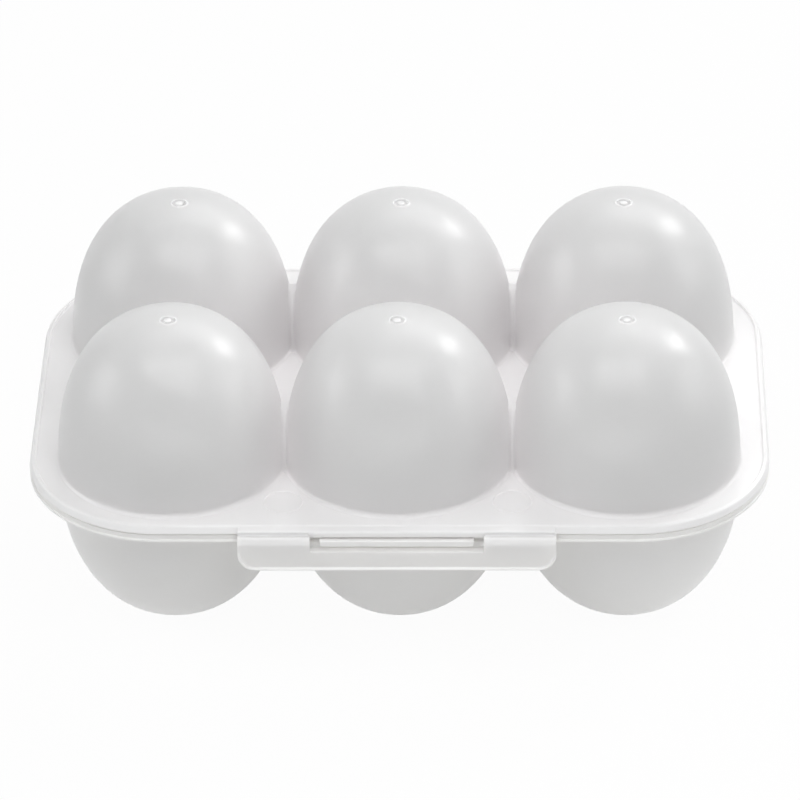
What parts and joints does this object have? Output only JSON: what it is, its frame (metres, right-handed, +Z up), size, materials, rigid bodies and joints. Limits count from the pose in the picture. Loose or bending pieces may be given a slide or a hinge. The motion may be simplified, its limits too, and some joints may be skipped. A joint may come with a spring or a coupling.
{
  "type": "egg storage box",
  "caption": "Clamshell egg box in frosted plastic: cups below, matching domes above, a living hinge behind and a front latch flap with a slot over a catch.",
  "frame": {"origin": "on the table, under the middle of the box's full length and depth", "axes": "+X along the long side, -Y towards the latch flap, +Z up"},
  "size_m": [0.157, 0.1094, 0.0691],
  "materials": {
    "tray": "frosted polypropylene, moulded",
    "lid": "frosted polypropylene, moulded",
    "latch": "frosted polypropylene, moulded",
    "hinge": "thin flexed polypropylene"
  },
  "bodies": {
    "tray": {"tray_deck": "tray", "catch_ledge": "tray", "egg_cup_front_left": "tray", "egg_cup_front_centre": "tray", "egg_cup_front_right": "tray", "egg_cup_rear_left": "tray", "egg_cup_rear_centre": "tray", "egg_cup_rear_right": "tray", "rear_hinge_web_left": "hinge", "rear_hinge_web_right": "hinge"},
    "lid": {"lid_deck": "lid", "egg_dome_front_left": "lid", "egg_dome_front_centre": "lid", "egg_dome_front_right": "lid", "egg_dome_rear_left": "lid", "egg_dome_rear_centre": "lid", "egg_dome_rear_right": "lid", "flap_hinge_web_left": "hinge", "flap_hinge_web_right": "hinge"},
    "flap": {"latch_flap": "latch"}
  },
  "joints": [
    {"name": "lid_hinge", "type": "hinge", "parent": "tray", "child": "lid", "pos_m": [0, 0.05473, 0.03411], "axis": [-1, 0, 0], "range_deg": [0, 180], "deforming": ["rear_hinge_web_left", "rear_hinge_web_right"]},
    {"name": "latch_hinge", "type": "hinge", "parent": "lid", "child": "flap", "pos_m": [0, -0.05265, 0.03501], "axis": [-1, 0, 0], "range_deg": [0, 100], "deforming": ["flap_hinge_web_left", "flap_hinge_web_right"]}
  ]
}
